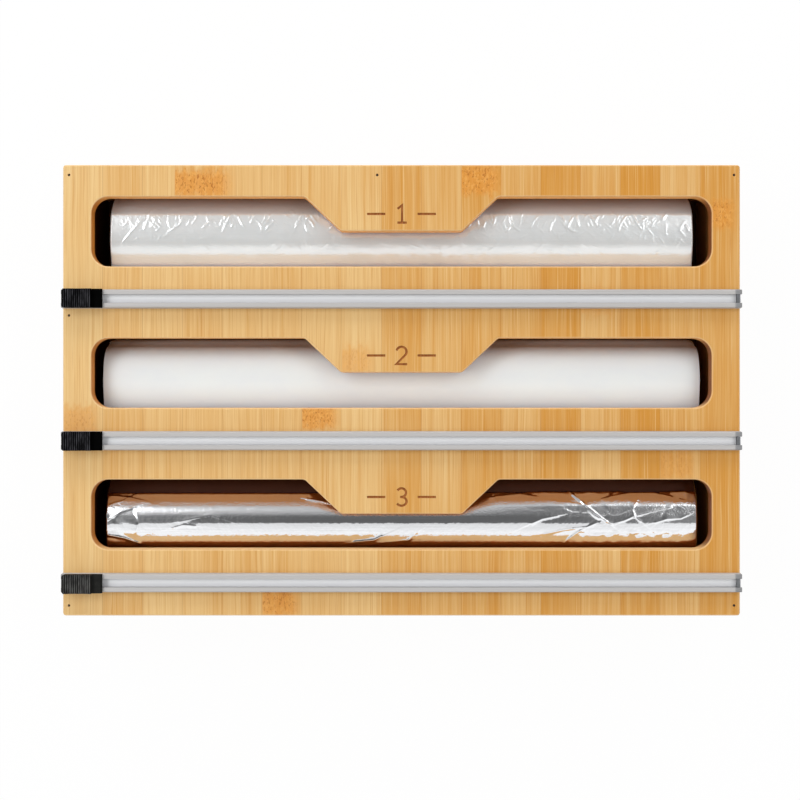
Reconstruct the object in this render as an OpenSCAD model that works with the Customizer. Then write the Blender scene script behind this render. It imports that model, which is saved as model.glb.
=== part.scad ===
// Kitchen wrap dispenser box: a flat bamboo box for three wrap rolls.
// It lies as in a drawer, window panel upwards, with the rolls along X.
// The origin is on the surface it lies on, under the middle of the box.

/* [Box] */
// Length of the box along the rolls
box_w = 335; // [260:1:400]
// Depth of the box across the rolls
box_d = 223; // [216:1:260]
// Height from the underside to the panel's face
box_h = 68; // [66:1:90]
// Thickness of the long walls, the end wall and the door
wall_t = 10; // [8:0.5:12]
// Thickness of the window panel
panel_t = 9; // [6:0.5:10]
// Thickness of the base board
base_t = 6; // [4:0.5:8]
// Thickness of the two dividers
divider_t = 7; // [6:0.5:9]
// Depth of the housings that hold the dividers in the end wall
housing_depth = 3; // [1:0.5:5]
// Radius of the panel's upright corners
panel_corner_r = 1.5; // [0.5:0.25:4]

/* [Windows] */
// Width of the panel left beside the ends of the windows
window_margin = 14; // [13:0.5:24]
// Width of each window across the roll
window_h = 34.5; // [30:0.5:38]
// Radius of the window corners
window_r = 8.5; // [5:0.5:12]
// Distance from the middle of a compartment to the middle of its window
window_shift = 8.55; // [6:0.05:10]
// Width of the hanging tab where it leaves the window's edge
tab_top_w = 96; // [80:1:120]
// Width of the tab's lower edge
tab_bottom_w = 60; // [40:1:70]
// How far the tab hangs into the window
tab_drop = 17; // [10:0.5:20]
// Radius that rounds the tab's corners
tab_r = 3; // [1:0.25:4]

/* [Brads] */
// Diameter of the brads
brad_d = 1.3; // [1:0.1:2]
// Length of the brads
brad_l = 25; // [18:1:35]
// Depth of the sunk heads below the panel's face
brad_sink = 1; // [0.5:0.1:2]
// Distance from the panel's end to the brads near it
brad_end = 3; // [2:0.25:5]
// Place of the middle brad along the rear wall
brad_mid_x = -12; // [-60:1:60]
// Place of the middle brad along the end wall
brad_mid_y = 37; // [20:1:60]

/* [Cutter rails] */
// Distance from the middle of a compartment to its rail
rail_shift = 24.9; // [23:0.1:26]
// Width of the rail's foot
rail_w = 9.4; // [9:0.1:11]
// Height of the rail
rail_h = 3.6; // [3.4:0.1:5]
// Thickness of the rail's floor
rail_floor = 0.8; // [0.6:0.1:1]
// Width of the rail's foot beyond each side wall
rail_ledge = 0.25; // [0.1:0.05:0.5]
// Thickness of the rail's side walls
rail_wall = 1.1; // [0.8:0.1:1.3]
// Width of the slot between the rail's lips
slot_w = 4.2; // [3.6:0.1:4.6]
// Thickness of the rail's lips
lip_t = 1.2; // [0.8:0.1:1.3]
// Chamfer on the lips' outer edges
lip_ease = 0.4; // [0.2:0.1:0.7]
// Thickness of the tape under the rail
tape_t = 0.6; // [0.3:0.1:1]
// Distance that the tape stays in from the rail's edges
tape_inset = 0.5; // [0.2:0.1:1]
// Thickness of the stops pressed into the rail's ends
stop_t = 1.5; // [1:0.1:1.5]

/* [Cutter sliders] */
// Length of the slider
slider_l = 19.5; // [19:0.5:26]
// Width of the slider
slider_w = 9.4; // [8:0.1:11]
// Height of the ribbed grip above the rail
grip_h = 4.8; // [4:0.1:7]
// Length of the ribbed grip
grip_l = 14.6; // [12:0.1:16]
// Height of the smooth nose above the rail
nose_h = 2.3; // [1.8:0.1:3.5]
// Number of ribs on the grip
rib_count = 13; // [9:1:15]
// Depth of the grooves between the ribs
rib_depth = 0.45; // [0.2:0.05:0.6]
// Depth of the hollow that the thumb sits in
grip_dip = 0.7; // [0:0.1:1]
// Length of the neck that runs in the slot
neck_l = 8; // [6:0.5:9]
// Distance from the slider's ends in to the ends of the foot that runs under the lips
foot_inset = 1.7; // [1.5:0.1:2]
// Thickness of the blade
blade_t = 0.4; // [0.3:0.05:0.6]
// Length of the blade at its base
blade_l = 13; // [11:0.5:14]
// Depth that the blade is held in the head
blade_set = 2.1; // [1:0.1:2.5]
// Distance that the sliders rest in from the rail's left end
slider_rest = 1.1; // [1:0.1:5]

/* [Rolls] */
// Outer radius of the cardboard cores
core_r = 15; // [12:0.5:16]
// Wall of the cardboard cores
core_wall = 1.4; // [0.8:0.1:2]
// Space between each end of the film roll and the inside of the box
film_end = 10.75; // [2:0.25:20]
// Outer radius of the film roll
film_r = 26; // [18:0.5:26]
// Space between the film roll and the rear wall
film_back = 0.6; // [0.5:0.1:8]
// Space between each end of the wax paper roll and the inside of the box
wax_end = 7; // [2:0.25:20]
// Outer radius of the wax paper roll
wax_r = 25; // [18:0.5:26]
// Space between the wax paper roll and the divider behind it
wax_back = 1.6; // [0.5:0.1:8]
// Space between each end of the foil roll and the inside of the box
foil_end = 8.25; // [2:0.25:20]
// Outer radius of the foil roll
foil_r = 25; // [18:0.5:26]
// Space between the foil roll and the divider behind it
foil_back = 2; // [0.5:0.1:8]

/* [End door] */
// Gap round the door
door_gap = 0.6; // [0.5:0.1:1]
// Diameter of the door's pivot pins
pin_d = 3; // [2:0.5:4]
// Length of the pins inside the door
pin_reach = 12; // [8:1:20]
// Radius of the finger notch in the door's upper edge
notch_r = 9; // [7:0.5:12]
// Diameter of the magnets
magnet_d = 5; // [3:0.5:5]
// Thickness of the magnets
magnet_t = 3; // [2:0.5:4]
// Distance from the panel's underside down to the magnets
magnet_drop = 9; // [6:0.5:15]

/* [Fits] */
// Gap round pressed-in pieces
press_gap = 0.05; // [0.02:0.01:0.1]
// Gap round the door's pins
pin_gap = 0.1; // [0.05:0.01:0.2]
// Gap between pieces that move past each other
run_gap = 0.3; // [0.25:0.01:0.4]

/* [Hidden] */
$fn = 96;
// Cutters reach this far past the faces that they open
past = 0.5;
bamboo = [0.87, 0.68, 0.42];
bamboo_pale = [0.90, 0.75, 0.52];
black_plastic = [0.09, 0.09, 0.10];
satin_rail = [0.80, 0.81, 0.83];
steel = [0.72, 0.73, 0.75];
card = [0.62, 0.47, 0.32];

wall_z = base_t;
wall_h = box_h - base_t - panel_t;
ceiling_z = box_h - panel_t;
inside_w = box_w - 2 * wall_t;
inside_d = box_d - 2 * wall_t;
bay_d = (inside_d - 2 * divider_t) / 3;
pitch = bay_d + divider_t;
window_w = box_w - 2 * window_margin;
// Middle of each compartment, rear to front: film, wax paper, foil
bay_y = [pitch, 0, -pitch];

// A board of the given size with its lower left front corner at the given point
module board(at, size) {
    translate(at)
        cube(size);
}

// Outlines are lists of [x, y, radius], counter-clockwise
function spot(p) = [p[0], p[1]];
function unit(v) = v / norm(v);
function before(o, i) = spot(o[(i + len(o) - 1) % len(o)]);
function after(o, i) = spot(o[(i + 1) % len(o)]);
function dir_in(o, i) = unit(spot(o[i]) - before(o, i));
function dir_out(o, i) = unit(after(o, i) - spot(o[i]));
function turn(o, i) = atan2(cross(dir_in(o, i), dir_out(o, i)), dir_in(o, i) * dir_out(o, i));
function setback(o, i) = o[i][2] * tan(abs(turn(o, i)) / 2);
function arc_from(o, i) = spot(o[i]) - setback(o, i) * dir_in(o, i);
function arc_to(o, i) = spot(o[i]) + setback(o, i) * dir_out(o, i);
function left_of(v) = [-v[1], v[0]];
function arc_centre(o, i) = arc_from(o, i) + sign(turn(o, i)) * o[i][2] * left_of(dir_in(o, i));

// The outline with its corners rounded
module rounded(o) {
    difference() {
        union() {
            polygon([for (i = [0 : len(o) - 1]) each [arc_from(o, i), arc_to(o, i)]]);
            for (i = [0 : len(o) - 1])
                if (turn(o, i) > 0)
                    translate(arc_centre(o, i))
                        circle(o[i][2]);
        }
        for (i = [0 : len(o) - 1])
            if (turn(o, i) < 0)
                translate(arc_centre(o, i))
                    circle(o[i][2]);
    }
}

panel_outline = [
    [-box_w / 2, -box_d / 2, panel_corner_r], [box_w / 2, -box_d / 2, panel_corner_r],
    [box_w / 2, box_d / 2, panel_corner_r], [-box_w / 2, box_d / 2, panel_corner_r]
];

// The window with its hanging tab, for the compartment in the given row
function window_outline(row) =
    let (y = bay_y[row] + window_shift, top = y + window_h / 2, low = y - window_h / 2)
    [
        [-window_w / 2, low, window_r], [window_w / 2, low, window_r],
        [window_w / 2, top, window_r], [tab_top_w / 2, top, tab_r],
        [tab_bottom_w / 2, top - tab_drop, tab_r], [-tab_bottom_w / 2, top - tab_drop, tab_r],
        [-tab_top_w / 2, top, tab_r], [-window_w / 2, top, window_r]
    ];

brad_wall_y = box_d / 2 - wall_t / 2;
brad_x = box_w / 2 - brad_end;
brad_spots = [
    [-brad_x, brad_wall_y], [brad_mid_x, brad_wall_y], [brad_x, brad_wall_y],
    [-brad_x, brad_mid_y], [-brad_x, -brad_wall_y], [brad_x, -brad_wall_y]
];

// Holes for the brads, from above the panel down to the brads' points
module brad_holes() {
    for (p = brad_spots)
        translate([p[0], p[1], box_h - brad_sink - brad_l])
            cylinder(d = brad_d + 2 * press_gap, h = brad_sink + brad_l + past);
}

// Three-window face board
module top_panel() {
    color(bamboo)
        difference() {
            translate([0, 0, ceiling_z])
                linear_extrude(panel_t)
                    rounded(panel_outline);
            for (row = [0 : 2])
                translate([0, 0, ceiling_z - past])
                    linear_extrude(panel_t + 2 * past)
                        rounded(window_outline(row));
            brad_holes();
        }
}

pin_x = box_w / 2 - wall_t / 2;
pin_z = base_t + door_gap + wall_t / 2;
door_d = inside_d - 2 * door_gap;

// Hole for a pivot pin, along Y through everything
module pin_hole(gap) {
    translate([pin_x, 0, pin_z])
        rotate([90, 0, 0])
            cylinder(d = pin_d + 2 * gap, h = box_d + 2 * past, center = true);
}

// One of the two long walls, side 1 at the rear and -1 at the front
module long_wall(side) {
    color(bamboo_pale)
        difference() {
            board([-box_w / 2, side * (box_d - wall_t) / 2 - wall_t / 2, wall_z], [box_w, wall_t, wall_h]);
            brad_holes();
            pin_hole(press_gap);
        }
}

module rear_wall() {
    long_wall(1);
}

module front_wall() {
    long_wall(-1);
}

// The end wall stands between the long walls and is housed out for the dividers
module left_end_wall() {
    color(bamboo_pale)
        difference() {
            board([-box_w / 2, -inside_d / 2, wall_z], [wall_t, inside_d, wall_h]);
            for (side = [-1, 1])
                board([-inside_w / 2 - housing_depth, side * pitch / 2 - divider_t / 2, wall_z - past],
                    [housing_depth + past, divider_t, wall_h + 2 * past]);
            brad_holes();
        }
}

magnet_z = ceiling_z - magnet_drop;
divider_end = inside_w / 2 - run_gap;

// Round pocket or magnet along X, from x towards +X
module disc(x, y, d, l) {
    translate([x, y, magnet_z])
        rotate([0, 90, 0])
            cylinder(d = d, h = l);
}

// A divider runs from its housing to just short of the door, with a magnet in its end
module divider(side) {
    from = -inside_w / 2 - housing_depth;
    color(bamboo_pale)
        difference() {
            board([from, side * pitch / 2 - divider_t / 2, wall_z], [divider_end - from, divider_t, wall_h]);
            disc(divider_end - magnet_t, side * pitch / 2, magnet_d + 2 * press_gap, magnet_t + past);
        }
}

module rear_divider() {
    divider(1);
}

module front_divider() {
    divider(-1);
}

module divider_magnets() {
    color(steel)
        for (side = [-1, 1])
            disc(divider_end - magnet_t, side * pitch / 2, magnet_d, magnet_t);
}

// The base board carries the walls and the rolls
module base_panel() {
    color(bamboo_pale)
        board([-box_w / 2, -box_d / 2, 0], [box_w, box_d, base_t]);
}

module brads() {
    color(steel)
        for (p = brad_spots)
            translate([p[0], p[1], box_h - brad_sink - brad_l])
                cylinder(d = brad_d, h = brad_l);
}

// The door turns down on its rounded lower edge
module end_door() {
    top = ceiling_z - door_gap;
    color(bamboo_pale)
        difference() {
            translate([pin_x, door_d / 2, 0])
                rotate([90, 0, 0])
                    linear_extrude(door_d) {
                        translate([0, pin_z])
                            circle(d = wall_t);
                        translate([-wall_t / 2, pin_z])
                            square([wall_t, top - pin_z]);
                    }
            translate([pin_x - wall_t / 2 - past, 0, top])
                rotate([0, 90, 0])
                    cylinder(r = notch_r, h = wall_t + 2 * past);
            for (side = [-1, 1]) {
                disc(inside_w / 2 - past, side * pitch / 2, magnet_d + 2 * press_gap, magnet_t + past);
                translate([pin_x, side * (door_d / 2 + past), pin_z])
                    rotate([side * 90, 0, 0])
                        cylinder(d = pin_d + 2 * pin_gap, h = pin_reach + past + pin_gap);
            }
        }
}

module door_magnets() {
    color(steel)
        for (side = [-1, 1])
            disc(inside_w / 2, side * pitch / 2, magnet_d, magnet_t);
}

// A pin is pushed in from the outside of each long wall, flush with it
module hinge_pins() {
    color(steel)
        for (side = [-1, 1])
            translate([pin_x, side * box_d / 2, pin_z])
                rotate([side * 90, 0, 0])
                    cylinder(d = pin_d, h = wall_t + door_gap + pin_reach);
}

function rail_y(row) = bay_y[row] - rail_shift;
rail_z = box_h + tape_t;
ridge_w = rail_w - 2 * rail_ledge;
cavity_w = ridge_w - 2 * rail_wall;

module tape(row) {
    color([0.93, 0.90, 0.80])
        board([-box_w / 2 + tape_inset, rail_y(row) - rail_w / 2 + tape_inset, box_h],
            [box_w - 2 * tape_inset, rail_w - 2 * tape_inset, tape_t]);
}

// Half of the rail's section: floor, side wall and lip round half of the slot
rail_half = [
    [0, 0], [rail_w / 2, 0], [rail_w / 2, rail_floor], [ridge_w / 2, rail_floor],
    [ridge_w / 2, rail_h - lip_ease], [ridge_w / 2 - lip_ease, rail_h], [slot_w / 2, rail_h],
    [slot_w / 2, rail_h - lip_t], [cavity_w / 2, rail_h - lip_t], [cavity_w / 2, rail_floor], [0, rail_floor]
];

// Extruded channel: two lips hold the slider's foot down, and the blade runs in the slot
module rail(row) {
    mirrored = [for (i = [len(rail_half) - 1 : -1 : 0]) [-rail_half[i][0], rail_half[i][1]]];
    color(satin_rail)
        translate([-box_w / 2, rail_y(row), rail_z])
            rotate([90, 0, 90])
                linear_extrude(box_w)
                    polygon(concat(
                        [for (i = [1 : len(rail_half) - 2]) rail_half[i]],
                        [for (i = [1 : len(rail_half) - 2]) mirrored[i]]
                    ));
}

foot_l = slider_l - 2 * foot_inset;
stop_in = slider_rest + foot_inset - run_gap;
// Half of a stop's section, which fills the channel up to the top of the lips
stop_half = [
    [cavity_w / 2 - press_gap, rail_floor + press_gap], [cavity_w / 2 - press_gap, rail_h - lip_t - press_gap],
    [slot_w / 2 - press_gap, rail_h - lip_t - press_gap], [slot_w / 2 - press_gap, rail_h]
];

// Plugs near both ends of each rail, which end the run of the slider's foot
module rail_stops() {
    color([0.42, 0.43, 0.45])
        for (row = [0 : 2], end = [-1, 1])
            translate([end * (box_w / 2 - stop_in + stop_t / 2) - stop_t / 2, rail_y(row), rail_z])
                rotate([90, 0, 90])
                    linear_extrude(stop_t)
                        polygon(concat(stop_half, [for (i = [3 : -1 : 0]) [-stop_half[i][0], stop_half[i][1]]]));
}

// Heights in the slider, from the rail's underside
foot_low = rail_floor + run_gap;
foot_top = rail_h - lip_t - run_gap;
head_low = rail_h + run_gap;
grip_top = rail_h + grip_h;
nose_top = rail_h + nose_h;
blade_top = head_low + blade_set;
slider_x = -box_w / 2 + slider_rest;
grip_from = 1;
grip_to = grip_l - 0.4;
rib_step = (grip_to - grip_from) / (2 * rib_count - 1);
function hollow(x) = let (u = (x - grip_from) / (grip_to - grip_from)) 4 * grip_dip * u * (1 - u);
function rib_x(i) = grip_from + i * rib_step;
// Two points for each edge of each rib, over the thumb's hollow
rib_line = [
    for (i = [2 * rib_count - 1 : -1 : 0])
        let (x = rib_x(i), z = grip_top - hollow(x))
        each (i % 2 == 0 ? [[x, z], [x, z - rib_depth]] : [[x, z - rib_depth], [x, z]])
];

// Side view of the slider's head: smooth nose, step up, ribs over the hollow, rounded heel
module head_side() {
    polygon(concat(
        [[0, head_low], [slider_l, head_low], [slider_l, nose_top - 0.7], [slider_l - 0.7, nose_top],
            [grip_l + 0.3, nose_top], [grip_l, nose_top + 0.3], [grip_l, grip_top - 0.3]],
        [for (i = [1 : len(rib_line) - 2]) rib_line[i]],
        [[0.7, grip_top], [0, grip_top - 0.7]]
    ));
}

// Side view of the blade: wide in the foot, sloping to a sharp edge each way under the head
module blade_side() {
    low = blade_l / 2;
    high = neck_l / 2 - 0.8;
    translate([slider_l / 2, 0])
        polygon([
            [-low, foot_low], [low, foot_low], [low, foot_top], [high, head_low + 0.5],
            [high, blade_top], [-high, blade_top], [-high, head_low + 0.5], [-low, foot_top]
        ]);
}

// A side view drawn out across the slider, w wide
module across(w) {
    translate([0, w / 2, 0])
        rotate([90, 0, 0])
            linear_extrude(w)
                children();
}

// Head with its heel corners cut off, neck in the slot, and pointed foot under the lips
module slider(row) {
    neck_w = slot_w - 2 * run_gap;
    foot_w = cavity_w - 2 * run_gap;
    half = slider_w / 2;
    heel = 1;
    color(black_plastic)
        translate([slider_x, rail_y(row), rail_z])
            difference() {
                union() {
                    intersection() {
                        across(slider_w)
                            head_side();
                        translate([0, 0, head_low])
                            linear_extrude(grip_top)
                                polygon([
                                    [heel, -half], [slider_l, -half], [slider_l, half],
                                    [heel, half], [0, half - heel], [0, heel - half]
                                ]);
                    }
                    translate([(slider_l - neck_l) / 2, -neck_w / 2, foot_low])
                        cube([neck_l, neck_w, head_low - foot_low + past]);
                    translate([slider_l / 2, 0, foot_low])
                        linear_extrude(foot_top - foot_low)
                            polygon([
                                [-foot_l / 2, 0], [heel - foot_l / 2, -foot_w / 2], [foot_l / 2 - heel, -foot_w / 2],
                                [foot_l / 2, 0], [foot_l / 2 - heel, foot_w / 2], [heel - foot_l / 2, foot_w / 2]
                            ]);
                }
                across(blade_t + 2 * press_gap)
                    blade_side();
            }
}

module blade(row) {
    color(steel)
        translate([slider_x, rail_y(row), rail_z])
            across(blade_t)
                blade_side();
}

// A tube along X, lying on the base board or round a core
module tube(y, z, r, bore, l) {
    translate([0, y, z])
        rotate([0, 90, 0])
            difference() {
                cylinder(r = r, h = l, center = true);
                cylinder(r = bore, h = l + 2 * past, center = true);
            }
}

function roll_z(r) = base_t + run_gap + r;
film_w = inside_w - 2 * film_end;
wax_w = inside_w - 2 * wax_end;
foil_w = inside_w - 2 * foil_end;
function roll_y(row, r, back) = bay_y[row] + bay_d / 2 - back - r;
film_y = roll_y(0, film_r, film_back);
wax_y = roll_y(1, wax_r, wax_back);
foil_y = roll_y(2, foil_r, foil_back);

module core(y, r, w) {
    color(card)
        tube(y, roll_z(r), core_r, core_r - core_wall, w);
}

module wrap(y, r, w) {
    tube(y, roll_z(r), r, core_r + press_gap, w);
}

module film_tape() {
    tape(0);
}

module film_rail() {
    rail(0);
}

module film_slider() {
    slider(0);
}

module film_blade() {
    blade(0);
}

module wax_tape() {
    tape(1);
}

module wax_rail() {
    rail(1);
}

module wax_slider() {
    slider(1);
}

module wax_blade() {
    blade(1);
}

module foil_tape() {
    tape(2);
}

module foil_rail() {
    rail(2);
}

module foil_slider() {
    slider(2);
}

module foil_blade() {
    blade(2);
}

module film_core() {
    core(film_y, film_r, film_w);
}

module film_wrap() {
    color([0.90, 0.90, 0.91])
        wrap(film_y, film_r, film_w);
}

module wax_core() {
    core(wax_y, wax_r, wax_w);
}

module wax_wrap() {
    color([0.95, 0.94, 0.93])
        wrap(wax_y, wax_r, wax_w);
}

module foil_core() {
    core(foil_y, foil_r, foil_w);
}

module foil_wrap() {
    color([0.76, 0.77, 0.79])
        wrap(foil_y, foil_r, foil_w);
}

top_panel();
rear_wall();
front_wall();
left_end_wall();
rear_divider();
front_divider();
base_panel();
brads();
film_tape();
film_rail();
film_slider();
film_blade();
wax_tape();
wax_rail();
wax_slider();
wax_blade();
foil_tape();
foil_rail();
foil_slider();
foil_blade();
film_core();
film_wrap();
wax_core();
wax_wrap();
foil_core();
foil_wrap();
end_door();
hinge_pins();
door_magnets();
divider_magnets();
rail_stops();
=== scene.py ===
import math

import bmesh
import bpy
import numpy as np
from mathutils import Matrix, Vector, noise


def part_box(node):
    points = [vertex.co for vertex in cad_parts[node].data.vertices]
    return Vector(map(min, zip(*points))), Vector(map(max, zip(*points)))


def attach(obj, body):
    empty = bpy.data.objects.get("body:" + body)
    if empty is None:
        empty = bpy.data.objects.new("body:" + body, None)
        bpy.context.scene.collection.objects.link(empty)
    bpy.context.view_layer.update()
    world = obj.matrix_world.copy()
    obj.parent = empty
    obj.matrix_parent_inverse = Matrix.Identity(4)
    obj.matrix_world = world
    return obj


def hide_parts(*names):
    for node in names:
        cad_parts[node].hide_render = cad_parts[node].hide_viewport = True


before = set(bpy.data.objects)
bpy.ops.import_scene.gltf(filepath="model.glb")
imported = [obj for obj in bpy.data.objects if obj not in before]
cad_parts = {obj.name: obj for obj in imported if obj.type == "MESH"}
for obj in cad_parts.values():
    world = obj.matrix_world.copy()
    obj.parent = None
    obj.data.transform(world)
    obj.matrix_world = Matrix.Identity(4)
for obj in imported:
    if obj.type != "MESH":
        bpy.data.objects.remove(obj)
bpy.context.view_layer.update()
MM = 0.001


# Base board: 6 mm bamboo plywood that the walls stand on and the rolls lie on.
# Bamboo board is made of flat strips glued edge to edge, planed and lacquered satin,
# so the finish below knows which way its strips run.
class Shade:
    """A value, colour or vector in a node tree, so that shader maths reads as plain sums."""

    def __init__(self, nodes, socket):
        self.nodes, self.socket = nodes, socket

    def sums(self, operation, *values):
        return self.nodes.node("ShaderNodeMath", {"operation": operation}, dict(enumerate(values)))

    def __add__(self, other): return self.sums("ADD", self, other)
    def __radd__(self, other): return self.sums("ADD", other, self)
    def __sub__(self, other): return self.sums("SUBTRACT", self, other)
    def __rsub__(self, other): return self.sums("SUBTRACT", other, self)
    def __mul__(self, other): return self.sums("MULTIPLY", self, other)
    def __rmul__(self, other): return self.sums("MULTIPLY", other, self)
    def __truediv__(self, other): return self.sums("DIVIDE", self, other)
    def __abs__(self): return self.sums("ABSOLUTE", self)
    def floor(self): return self.sums("FLOOR", self)
    def wrapped(self): return self.sums("FRACT", self)
    def at_most(self, other): return self.sums("MINIMUM", self, other)
    def at_least(self, other): return self.sums("MAXIMUM", self, other)

    def rise(self, low, high):
        """0 below low, 1 above high, smooth between; falls where low is the higher one."""
        settings = {"interpolation_type": "SMOOTHSTEP"}
        if low > high:
            return 1 - self.rise(high, low)
        return self.nodes.node("ShaderNodeMapRange", settings, {0: self, 1: low, 2: high, 3: 0.0, 4: 1.0})


class Nodes:
    """A node tree, to which every node is added in one way."""

    def __init__(self, tree):
        self.tree = tree

    def node(self, kind, settings, sockets, out=0):
        """Adds a node with its settings, such as a ramp's grey stops, and its sockets' values or links."""
        made = self.tree.nodes.new(kind)
        for name, value in settings.items():
            if name == "stops":
                steps = made.color_ramp.elements
                while len(steps) < len(value):
                    steps.new(0.5)
                for step, (at, level) in zip(steps, value):
                    step.position, step.color = at, (level, level, level, 1)
            else:
                setattr(made, name, value)
        for key, value in sockets.items():
            self.feed(made.inputs[key], value)
        return Shade(self, made.outputs[out]) if made.outputs else None

    def feed(self, socket, value):
        if isinstance(value, Shade):
            self.tree.links.new(value.socket, socket)
        else:
            socket.default_value = value


class Finish(Nodes):
    """One material, built node by node round a Principled shader."""

    def __init__(self, name):
        self.material = bpy.data.materials.new(name)
        self.material.use_nodes = True
        super().__init__(self.material.node_tree)
        self.surface = self.tree.nodes["Principled BSDF"]

    def shader(self, **sockets):
        for name, value in sockets.items():
            self.feed(self.surface.inputs[name.replace("_", " ")], value)

    def place(self):
        """Object coordinates in millimetres, as three values."""
        where = self.node("ShaderNodeTexCoord", {}, {}, "Object")
        where = self.node("ShaderNodeVectorMath", {"operation": "SCALE"}, {0: where, "Scale": 1 / MM})
        split = self.node("ShaderNodeSeparateXYZ", {}, {0: where}).socket.node
        return [Shade(self, s) for s in split.outputs]

    def join(self, x, y, z):
        return self.node("ShaderNodeCombineXYZ", {}, {0: x, 1: y, 2: z})

    def cloud(self, where, scale=1.0, detail=2.0, rough=0.5):
        settings = {"Vector": where, "Scale": scale, "Detail": detail, "Roughness": rough}
        return self.node("ShaderNodeTexNoise", {}, settings)

    def chance(self, number):
        return self.node("ShaderNodeTexWhiteNoise", {"noise_dimensions": "1D"}, {"W": number})

    def mix(self, amount, first, second):
        settings = {"data_type": "RGBA", "clamp_factor": True}
        return self.node("ShaderNodeMix", settings, {0: amount, 6: first, 7: second}, 2)

    def relief(self, height, depth, strength=1.0):
        return self.node("ShaderNodeBump", {}, {"Height": height, "Distance": depth, "Strength": strength})


def ink(red, green, blue):
    """A colour as it is seen on a screen, 0 to 255, in the light that the shader works in."""
    parts = [c / 255 for c in (red, green, blue)]
    return [c / 12.92 if c < 0.04045 else ((c + 0.055) / 1.055) ** 2.4 for c in parts] + [1.0]


def bamboo(name, along, across, strip_w, first, seed, knuckles=(), drift=0.0, bare_and_painted=None):
    """Bamboo board with strips strip_w mm wide from `first` mm on the axis `across`.

    It browns by `drift` for each mm on that axis. A knuckle is (from, to, middle along the strip, force),
    and the layers argument gives (share, colour) layers for unlacquered wood and for painted light and shade.
    """
    wood = Finish(name)
    axes = dict(zip("xyz", wood.place()))
    run, side = axes[along], axes[across]
    depth = axes[({"x", "y", "z"} - {along, across}).pop()]
    strip = ((side - first) / strip_w).floor()
    within = ((side - first) / strip_w).wrapped()
    tone = wood.chance(strip + seed)
    shift = wood.chance(strip + (seed + 40.5)) * 300
    wander = wood.cloud(wood.join(side * 0.04, run * 0.02, shift), 1.0, 1.0) - 0.5
    grain = side + wander * 1.6
    streak = wood.cloud(wood.join(grain * 0.42, run * 0.006 + shift, depth * 0.42), 1.0, 3.0, 0.6)
    fibre = wood.cloud(wood.join(grain * 1.5, run * 0.012 + shift, depth * 1.5), 1.0, 3.0, 0.65)
    hair = wood.cloud(wood.join(grain * 3.4, run * 0.03 + shift, depth * 3.4), 1.0, 2.0, 0.6)
    patch = wood.cloud(wood.join(strip * 3.7, run * 0.016, shift), 1.0, 1.0)
    depth_of_tone = tone * 0.29 + streak * 0.75 + patch * 0.4 - 0.25 + side * drift
    colour = wood.mix(depth_of_tone.rise(0.06, 0.94), ink(231, 194, 133), ink(208, 143, 51))
    colour = wood.mix(fibre.rise(0.5, 0.7) * 0.5, colour, ink(200, 133, 46))
    colour = wood.mix(fibre.rise(0.46, 0.28) * 0.5, colour, ink(238, 209, 152))
    colour = wood.mix(hair.rise(0.58, 0.74) * 0.42, colour, ink(186, 112, 32))
    joint = abs(within - 0.5).rise(0.5 - 0.35 / strip_w, 0.5)
    colour = wood.mix(joint * (0.1 + tone * 0.45), colour, ink(178, 112, 44))
    if knuckles:
        rag = wood.cloud(wood.join(side * 0.5, run * 0.3, shift), 1.0, 2.0) - 0.5
        knuckle_half = 10.0
        spot = 0.0
        for left, right, middle, force in knuckles:
            near = (abs(run - middle + rag * knuckle_half) / knuckle_half).rise(1.0, 0.35)
            fade_from = left * 0.35 + right * 0.65
            spot = side.rise(left, left + 0.5) * side.rise(right, fade_from) * near * force + spot
        bend = wood.cloud(wood.join(side * 0.6, run * 0.4, shift), 1.0, 2.0) - 0.5
        dash = wood.cloud(wood.join(side * 1.3 + bend * 2.0, run * 0.5 + bend, shift), 1.0, 2.0, 0.7)
        curl = wood.cloud(wood.join(side * 0.8 - bend * 2.0, run * 0.5, shift + 9), 1.0, 1.0)
        colour = wood.mix(spot * 0.8, colour, ink(219, 145, 54))
        colour = wood.mix(spot * curl.rise(0.5, 0.64) * 0.45, colour, ink(234, 176, 92))
        colour = wood.mix(spot * spot * dash.rise(0.55, 0.63) * 0.75, colour, ink(172, 94, 22))
    # Layers of unlacquered wood, and of painted light and shade, laid over the grain.
    for shown, tone_there in bare_and_painted(axes) if bare_and_painted else ():
        colour = wood.mix(shown, colour, tone_there)
    wood.shader(
        Base_Color=colour, Roughness=0.46 + fibre * 0.14, Specular_IOR_Level=0.3,
        Normal=wood.relief(hair * 0.5 + fibre * 0.5, 0.00004, 0.6),
    )
    return wood.material


def ease(node, width, segments=2, angle=30):
    """Rounds a CAD piece's sharp edges by `width` mm, as sanding or moulding leaves them."""
    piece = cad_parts[node]
    weld = piece.modifiers.new("weld", "WELD")
    weld.merge_threshold = 1e-6
    flat = piece.modifiers.new("one face per flat", "DECIMATE")
    flat.decimate_type, flat.angle_limit = "DISSOLVE", math.radians(0.4)
    bevel = piece.modifiers.new("eased edges", "BEVEL")
    bevel.limit_method, bevel.angle_limit = "ANGLE", math.radians(angle)
    bevel.width, bevel.segments, bevel.harden_normals = width * MM, segments, False
    bevel.use_clamp_overlap = True
    for face in piece.data.polygons:
        face.use_smooth = True
    normals = piece.modifiers.new("flat faces stay flat", "WEIGHTED_NORMAL")
    normals.keep_sharp, normals.weight = True, 100


def dress(node, material):
    """Gives a CAD piece its finish."""
    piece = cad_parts[node]
    piece.data.materials.clear()
    piece.data.materials.append(material)


def inside_painted_shade(axes):
    """Base and end wall: the faces within the box are unlacquered, and painted dark brown as painted shade in
    the bays' depth.
    """
    x, y, z = axes.values()
    wall_y, left_x, right_x, low_z = 105.0, -162.0, 165.0, 3.0
    along = x.rise(left_x, left_x + 1) * x.rise(right_x + 1, right_x)
    return [(abs(y).rise(wall_y + 1, wall_y) * along * z.rise(low_z, low_z + 1), ink(92, 50, 20))]


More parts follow.
